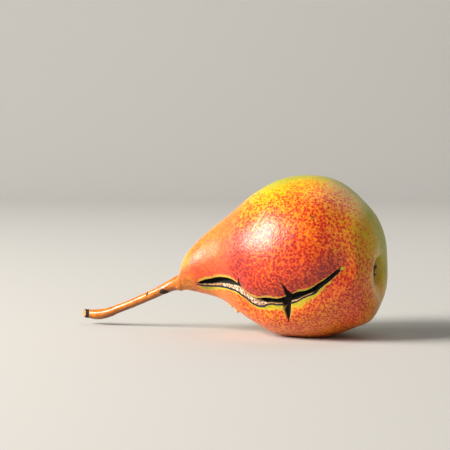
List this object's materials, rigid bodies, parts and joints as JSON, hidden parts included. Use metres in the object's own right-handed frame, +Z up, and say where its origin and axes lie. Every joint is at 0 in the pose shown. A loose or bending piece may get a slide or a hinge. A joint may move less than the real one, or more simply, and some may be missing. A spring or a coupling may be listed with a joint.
{
  "type": "pear",
  "caption": "Ripe blushed pear lying on its side, with a long healed growth crack along the belly, a cross gash and a bent woody stem.",
  "frame": {"origin": "on the floor, under the middle of the bounding box of the pear as it lies on its side", "axes": "+X along the pear from the stem's cut end toward the blossom end, +Z up, -Y toward the side with the crack"},
  "size_m": [0.13, 0.0648, 0.0638],
  "materials": {
    "skin": "smooth waxy fruit skin, red blush over yellow-green",
    "stem": "satin bark, golden brown",
    "calyx": "dry, matte, dark brown"
  },
  "bodies": {
    "root": {"pear_body": "skin", "stem": "stem", "calyx": "calyx"}
  },
  "joints": []
}
